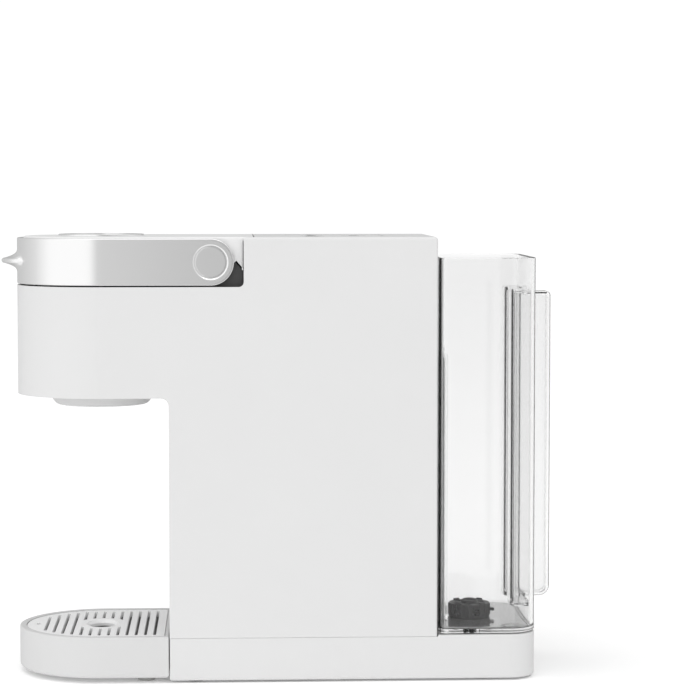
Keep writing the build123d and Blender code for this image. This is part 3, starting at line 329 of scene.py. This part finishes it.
def bendBand(s, height, radius, out):
    # lays the flat band round the plan: an arm, a half circle about the nose centre, and an arm
    nose = np.pi * handle["outerRadius"] / 2
    turn = np.clip(s, -nose, nose) / handle["outerRadius"]
    rest = s - np.clip(s, -nose, nose)
    x = np.sin(turn) * (radius + out)
    y = handle["noseY"] - np.cos(turn) * (radius + out) + np.abs(rest)
    return np.stack([x, y, height + handle["pivot"][2]], -1)


def lipShape(x, t, half):
    # a horn: t runs from 1 at its root to 0 at its rounded tip. Its reach at each x is the gap between a
    # small circle in plan and the band, and its flank is reach * (1 - s) ** lipCurve, so it leaves the band
    # smoothly. half is 1 above the middle line and -1 below it
    small, big = handle["lipPlanRadius"], handle["outerRadius"]
    inside = np.clip(small**2 - x**2, 0, None)
    reach = np.sqrt(inside) - handle["lipPlanY"] - (np.sqrt(big**2 - x**2) - handle["noseY"])
    reach = np.clip(np.where(inside > 0, reach, 0), 0, None)
    tip = np.minimum(handle["lipTip"], 0.5 * reach)
    swell = (reach / handle["lipReach"]) ** handle["lipSwell"]
    root = handle["lipEnd"] + (handle["lipRoot"] - handle["lipEnd"]) * swell
    split = handle["tipShare"]
    s = np.clip((t - split) / (1 - split), 0, 1) ** handle["flankPower"]
    flankOut = (reach - tip) * (1 - s) ** handle["lipCurve"]
    flankUp = tip + s * (root - tip)
    turn = np.clip(t / split, 0, 1) * np.pi / 2
    tipOut = reach - tip + tip * np.cos(turn)
    tipUp = tip * np.sin(turn)
    onTip = t < split
    return np.where(onTip, tipOut, flankOut), np.where(onTip, tipUp, flankUp) * half, root


def handleSurface():
    # rings from the middle line of the outer face, over its bevel and edge, to the middle line inside:
    # each point lies a share of the way from the middle line to the edge, bent round the plan
    edgeS, edgeH, midS = handleOutline()
    big, inner = handle["outerRadius"], handle["innerRadius"] - handle["outerRadius"]
    bevel, innerBevel, high = handle["edge"], handle["innerEdge"], handle["halfHeight"]
    lipBand = handle["lipBand"]
    inShare = (high - bevel) / high
    x = np.sin(np.clip(midS / big, -np.pi / 2, np.pi / 2)) * big
    onArm = np.abs(edgeS) > np.pi * big / 2
    half = np.sign(np.where(edgeH == 0, 1, edgeH))
    rings = []
    for t in np.linspace(0, 1, 30):
        out, up, root = lipShape(np.clip(x, -big, big), np.full(len(x), t), half)
        s = midS + (edgeS - midS) * t * lipBand
        height = np.where(onArm, edgeH * t * lipBand, up)
        rings.append(bendBand(s, height, big, np.where(onArm, 0, out)))
    rootHeight = np.where(onArm, edgeH * lipBand, root * half)
    for t in np.linspace(0, 1, 16)[1:]:
        s = midS + (edgeS - midS) * (lipBand + (inShare - lipBand) * t)
        height = rootHeight + (edgeH * inShare - rootHeight) * t
        rings.append(bendBand(s, height, big, 0))
    steps = []
    for turn in np.linspace(0, np.pi / 2, 6)[1:]:
        steps.append((inShare + (1 - inShare) * math.sin(turn), -bevel * (1 - math.cos(turn))))
    steps.append((1, inner + innerBevel))
    steps += [(share, inner) for share in ((high - innerBevel) / high, 0.8, 0.4, 0)]
    for share, out in steps:
        rings.append(bendBand(midS + (edgeS - midS) * share, edgeH * share, big, out))
    return np.stack(rings)


def makeHandle():
    middle = boxOf("handle_caps")[2]
    handle["pivot"] = [0, middle[1], middle[2]]
    band = gridMesh(handleSurface(), wrap=True)
    obj = finishPiece("handleBand", [band], materials["silver_band"], "handle", merge=0.02)
    # a round seat for each cap, cut with a plug that widens towards its outer face
    seat, depth, proud = handle["capSeat"], handle["seatDepth"], handle["plugProud"]
    profile = [(0, -depth), (seat, -depth), (seat, -handle["seatEdge"]), (handle["capBevel"], 0.0),
               (handle["capBevel"] + handle["plugFlare"], proud), (0, proud)]
    plugs = []
    for side in (-1, 1):
        centre = (side * handle["outerRadius"], *handle["pivot"][1:])
        mesh = gridMesh(lathe([(r, side * h) for r, h in profile], centre, "X", 128), wrap=True)
        plug = finishPiece("plug", [mesh], materials["silver_band"], "handle")
        plugs.append(plug)
        cut = obj.modifiers.new("seat", "BOOLEAN")
        cut.operation = "DIFFERENCE"
        cut.solver = "EXACT"
        cut.object = plug
    whole = bpy.data.meshes.new_from_object(obj.evaluated_get(bpy.context.evaluated_depsgraph_get()))
    obj.modifiers.clear()
    obj.data = whole
    for plug in plugs:
        bpy.data.objects.remove(plug)
    smoothShade(whole, 28)
    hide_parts("handle_band")


makeHandle()
print("handle made")


def sweep(path, across, width, height, taper=1.0, square=3.0):
    # a rounded bar along path (steps x 3, mm): across is the sideways direction at each step, and the
    # section is a superellipse |2a / width| ** square + |2b / height| ** square = 1, where square 2 is an
    # ellipse. Both ends close to a point, shrunk by taper first
    turn = np.linspace(0, 2 * np.pi, 16, endpoint=False)
    a = np.sign(np.cos(turn)) * np.abs(np.cos(turn)) ** (2 / square) * width / 2
    b = np.sign(np.sin(turn)) * np.abs(np.sin(turn)) ** (2 / square) * height / 2
    along = np.gradient(path, axis=0)
    along /= np.linalg.norm(along, axis=1, keepdims=True)
    side = np.broadcast_to(np.array(across, float), path.shape)
    side = side / np.linalg.norm(side, axis=1, keepdims=True)
    up = np.cross(along, side)
    body = path[:, None, :] + side[:, None, :] * a[None, :, None] + up[:, None, :] * b[None, :, None]
    ends = [path[:1, None, :] + (body[:1] - path[:1, None, :]) * share for share in (0.0, taper)]
    tails = [path[-1:, None, :] + (body[-1:] - path[-1:, None, :]) * share for share in (taper, 0.0)]
    return gridMesh(np.concatenate(ends + [body] + tails), wrap=True)


def arc(centre, radius, start, stop, steps=64):
    # part of a level circle, centre + radius * (cos turn, sin turn, 0), angles in degrees, and the outward
    # direction at each step
    turn = np.radians(np.linspace(start, stop, steps))
    out = np.stack([np.cos(turn), np.sin(turn), np.zeros(steps)], -1)
    return np.array(centre, float) + out * radius, out


medallion = {
    "rim": 30.0, "edge": 0.35,  # outer radius and its rounding
    "dish": 21.6, "depth": 0.75, "sink": 0.25,  # the sunk middle, and how much deeper it is at the centre
    "dishEdge": 0.15,  # bevel round the sunk middle
}


def makeMedallion():
    low, high, middle = boxOf("lid_medallion")
    top, rim, edge = high[2], medallion["rim"], medallion["edge"]
    dish, dishEdge, depth = medallion["dish"], medallion["dishEdge"], medallion["depth"]
    profile = [(0, low[2]), (rim, low[2])]
    for turn in np.linspace(0, np.pi / 2, 6):
        profile.append((rim - edge + edge * math.cos(turn), top - edge + edge * math.sin(turn)))
    profile += [(dish + 2 * dishEdge, top), (dish, top - dishEdge), (dish - dishEdge, top - depth)]
    # the floor of the dish is a shallow bowl: depth grows as 1 - (r / dish) ** 2
    for r in np.linspace(dish - 4 * dishEdge, 0, 12):
        profile.append((r, top - depth - medallion["sink"] * (1 - (r / dish) ** 2)))
    disc = gridMesh(lathe(profile, (middle[0], middle[1], 0), "Z", 160), wrap=True)
    obj = finishPiece("medallionDisc", [disc], materials["satin_cap"], "lid")
    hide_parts("lid_medallion")


makeMedallion()
print("medallion made")


marks = {
    "line": 0.55, "raised": 0.10,  # printed line width and how far it stands off the key
    "ring": {"small_cup_button": 2.2, "medium_cup_button": 3.4, "large_cup_button": 4.8},  # radii
    "power": 3.2, "powerArc": (130, 410), "powerBar": (1.2, 4.0),  # radius, degrees, and the bar's two ends
}


def makeMarks():
    # one ring on each cup key, larger for a larger cup, and an open ring with a bar on the power key
    ink = mouldedPlastic("grey_printed_marks", "#6E6E6E", "#747474", 0.5, 0.4, 0.005)
    section = (marks["line"], 2 * marks["raised"])
    for node, radius in {**marks["ring"], "power_button": marks["power"]}.items():
        high, middle = boxOf(node)[1:]
        centre = (middle[0], middle[1], high[2])
        power = node == "power_button"
        start, stop = marks["powerArc"] if power else (0, 360)
        path, out = arc(centre, radius, start, stop, 90)
        lines = [sweep(path, out, *section)]
        if power:
            near, far = ((centre[0], centre[1] + step, centre[2]) for step in marks["powerBar"])
            lines.append(sweep(np.linspace(near, far, 8), (1, 0, 0), *section))
        finishPiece(node + "_mark", lines, ink, node)


makeMarks()
print("marks made")


strainer = {
    "radius": 14.4, "rim": 45.1,  # of the valve cage: its outside, and the height of its top edge
    "ribs": 20, "ribWidth": 1.1, "ribDepth": 1.0, "ribOut": 0.1, "ribFoot": 36.4, "ribHead": 44.6,
    "lugs": (38, 142, 218, 322), "lugHalf": 9,  # degrees
    "lugWidth": 2.0, "lugHeight": 1.7, "lugIn": 1.1, "lugSink": 0.4,
    "bridgeSpan": 5.2, "bridgeRise": 1.8, "bridgeWidth": 2.2, "bridgeHeight": 1.1, "bridgeSink": 1.0,
}


def makeStrainer():
    # upright ribs round the valve cage, small lugs on its rim and a bridge over its middle
    hub = boxOf("valve_poppet")[2]
    centre = np.array([hub[0], hub[1], 0.0])
    dark = materials["dark_plastic"]
    bars = []
    for n in range(strainer["ribs"]):
        turn = 2 * math.pi * (n + 0.5) / strainer["ribs"]
        out = np.array([math.cos(turn), math.sin(turn), 0.0])
        side = np.array([-math.sin(turn), math.cos(turn), 0.0])
        foot = centre + out * (strainer["radius"] + strainer["ribOut"])
        path = np.linspace(foot + [0, 0, strainer["ribFoot"]], foot + [0, 0, strainer["ribHead"]], 10)
        bars.append(sweep(path, side, strainer["ribWidth"], strainer["ribDepth"], 0.8))
    lugMiddle = centre + [0, 0, strainer["rim"] + strainer["lugHeight"] / 2 - strainer["lugSink"]]
    lugRadius, lugHalf = strainer["radius"] - strainer["lugIn"], strainer["lugHalf"]
    for angle in strainer["lugs"]:
        path, out = arc(lugMiddle, lugRadius, angle - lugHalf, angle + lugHalf, 12)
        bars.append(sweep(path, out, strainer["lugWidth"], strainer["lugHeight"], 0.85))
    finishPiece("strainerRibs", bars, dark, "tank")
    # half ellipse: y = span cos turn, z = foot + rise sin turn
    turn = np.linspace(0, np.pi, 28)
    foot = boxOf("valve_cage")[1][2] - strainer["bridgeSink"]
    path = np.stack([np.full(len(turn), centre[0]), centre[1] + strainer["bridgeSpan"] * np.cos(turn),
                     foot + strainer["bridgeRise"] * np.sin(turn)], -1)
    bridge = sweep(path, (1, 0, 0), strainer["bridgeWidth"], strainer["bridgeHeight"], 0.9)
    finishPiece("strainerBridge", [bridge], dark, "tank")


makeStrainer()
print("strainer made")


valveSpring = {"wire": 0.8, "pitch": 1.4, "stepsPerTurn": 40}  # as wound, between poppet and cage


def makeValveSpring():
    # helix: angle t, height = foot + pitch * t / 360 degrees. The real spring shortens as the poppet rises
    # under the cage; this one keeps one length
    low, high, middle = boxOf("valve_spring")
    wire = valveSpring["wire"]
    foot, head = low[2] + wire / 2, high[2] - wire / 2
    turns = (head - foot) / valveSpring["pitch"]
    steps = int(turns * valveSpring["stepsPerTurn"])
    radius = (high[0] - low[0]) / 2 - wire / 2
    path, out = arc((middle[0], middle[1], 0), radius, 0, 360 * turns, steps)
    path[:, 2] = np.linspace(foot, head, steps)
    obj = finishPiece("valveSpring", [sweep(path, out, wire, wire, square=2.0)], materials["steel"], None)
    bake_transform(obj)
    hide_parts("valve_spring")


makeValveSpring()
print("valve spring made")


studio = {
    "floorSize": 12000,
    "backdrop": 1.03,  # brightness of the background itself and of what the clear tank shows
    # soft light from all round: an even part, and a part that grows towards this direction
    "fill": 0.75, "fillLean": (0.51, -0.22, 0.26),
    # brightness that shiny parts reflect, by compass turn: 0 is -X, 0.25 is -Y, 0.5 is +X and 0.75 is +Y
    "reflected": [(0.0, 0.38), (0.05, 0.60), (0.14, 0.68), (0.22, 0.80), (0.30, 1.12), (0.468, 1.12),
                  (0.474, 0.92), (0.489, 0.82), (0.4985, 0.46), (0.52, 0.44), (0.6, 0.66), (0.75, 0.90),
                  (0.9, 0.6), (1.0, 0.38)],
    "ceiling": 1.0, "ceilingSlope": (0.5, 0.85),  # above and below, taking over between these steepnesses
    "floorGlow": 0.14,  # the floor is a light table
    "topLight": {"place": (0, 0, 2600), "size": 2400, "power": 9},
}


def makeFloor():
    size = studio["floorSize"] * mm / 2
    mesh = bpy.data.meshes.new("floor")
    corners = [(-size, -size, 0), (size, -size, 0), (size, size, 0), (-size, size, 0)]
    mesh.from_pydata(corners, [], [(0, 1, 2, 3)])
    floor = bpy.data.objects.new("floor", mesh)
    bpy.context.scene.collection.objects.link(floor)
    mat, tree, shader, place = newMaterial("white_light_table", **{
        "Roughness": 0.95, "Specular IOR Level": 0.1, "Emission Color": (1, 1, 1, 1),
        "Emission Strength": studio["floorGlow"]})
    fibre = addNode(tree, "ShaderNodeTexNoise", {
        "Vector": place, "Scale": perMetre(4), "Detail": 4.0}).outputs["Fac"]
    linkTo(tree, shader, Base_Color=mixedColour(tree, fibre, "#FBFBFB", "#FFFFFF"))
    mesh.materials.append(mat)
    floor.visible_glossy = False  # metal mirrors the cards round it, as over a dark table


def makeWorld():
    # white backdrop, even fill, and a ring of brighter and darker card for the metal to reflect
    world = bpy.data.worlds.new("studio")
    bpy.context.scene.world = world
    world.use_nodes = True
    tree = world.node_tree
    tree.nodes.clear()
    ray = addNode(tree, "ShaderNodeLightPath").outputs
    direction = addNode(tree, "ShaderNodeTexCoord").outputs["Generated"]
    parts = addNode(tree, "ShaderNodeSeparateXYZ", {"Vector": direction}).outputs
    turn = addNode(tree, "ShaderNodeMath", {0: parts["Y"], 1: parts["X"]}, operation="ARCTAN2").outputs[0]
    compass = addNode(tree, "ShaderNodeMapRange", {
        "Value": turn, "From Min": -math.pi, "From Max": math.pi, "To Min": 0.0, "To Max": 1.0})
    # a ramp's colours stop at 1, so they are halved here and the cards' strength doubles them again
    ring = addNode(tree, "ShaderNodeValToRGB", {"Fac": compass.outputs["Result"]})
    for n, (place, value) in enumerate(studio["reflected"]):
        stop = ring.color_ramp.elements[n] if n < 2 else ring.color_ramp.elements.new(place)
        stop.position = place
        stop.color = (value / 2, value / 2, value / 2, 1)
    steep = addNode(tree, "ShaderNodeMath", {0: parts["Z"]}, operation="ABSOLUTE").outputs[0]
    slopeStart, slopeEnd = studio["ceilingSlope"]
    share = addNode(tree, "ShaderNodeMapRange", {
        "Value": steep, "From Min": slopeStart, "From Max": slopeEnd, "To Min": 0.0, "To Max": 1.0})
    ceiling = (studio["ceiling"] / 2,) * 3 + (1,)
    around = addNode(tree, "ShaderNodeMix", {
        "Factor": share.outputs["Result"], 6: ring.outputs["Color"], 7: ceiling}, data_type="RGBA")
    cards = addNode(tree, "ShaderNodeBackground", {"Color": around.outputs[2], "Strength": 2.0}).outputs[0]
    lean = addNode(tree, "ShaderNodeVectorMath", {0: direction, 1: studio["fillLean"]},
                   operation="DOT_PRODUCT").outputs["Value"]
    level = addNode(tree, "ShaderNodeMath", {0: lean, 1: studio["fill"]}, operation="ADD").outputs[0]
    white = (1, 1, 1, 1)
    fill = addNode(tree, "ShaderNodeBackground", {"Strength": level, "Color": white}).outputs[0]
    backdrop = addNode(tree, "ShaderNodeBackground", {
        "Strength": studio["backdrop"], "Color": white}).outputs[0]
    lit = addNode(tree, "ShaderNodeMixShader", {0: ray["Is Glossy Ray"], 1: fill, 2: cards}).outputs[0]
    seen = addNode(tree, "ShaderNodeMath", {0: ray["Is Camera Ray"], 1: ray["Is Transmission Ray"]},
                   operation="MAXIMUM").outputs[0]
    whole = addNode(tree, "ShaderNodeMixShader", {0: seen, 1: lit, 2: backdrop}).outputs[0]
    addNode(tree, "ShaderNodeOutputWorld", {"Surface": whole})


def makeTopLight():
    light = bpy.data.lights.new("topLight", "AREA")
    light.size = studio["topLight"]["size"] * mm
    light.energy = studio["topLight"]["power"]
    obj = bpy.data.objects.new("topLight", light)
    bpy.context.scene.collection.objects.link(obj)
    obj.location = [c * mm for c in studio["topLight"]["place"]]


def makeStudio():
    makeFloor()
    makeWorld()
    makeTopLight()
    scene = bpy.context.scene
    scene.view_settings.view_transform = "Standard"
    scene.view_settings.look = "None"
    # light crosses many clear walls on its way through the tank
    scene.cycles.max_bounces = 32
    scene.cycles.transmission_bounces = 32


makeStudio()
print("studio made")
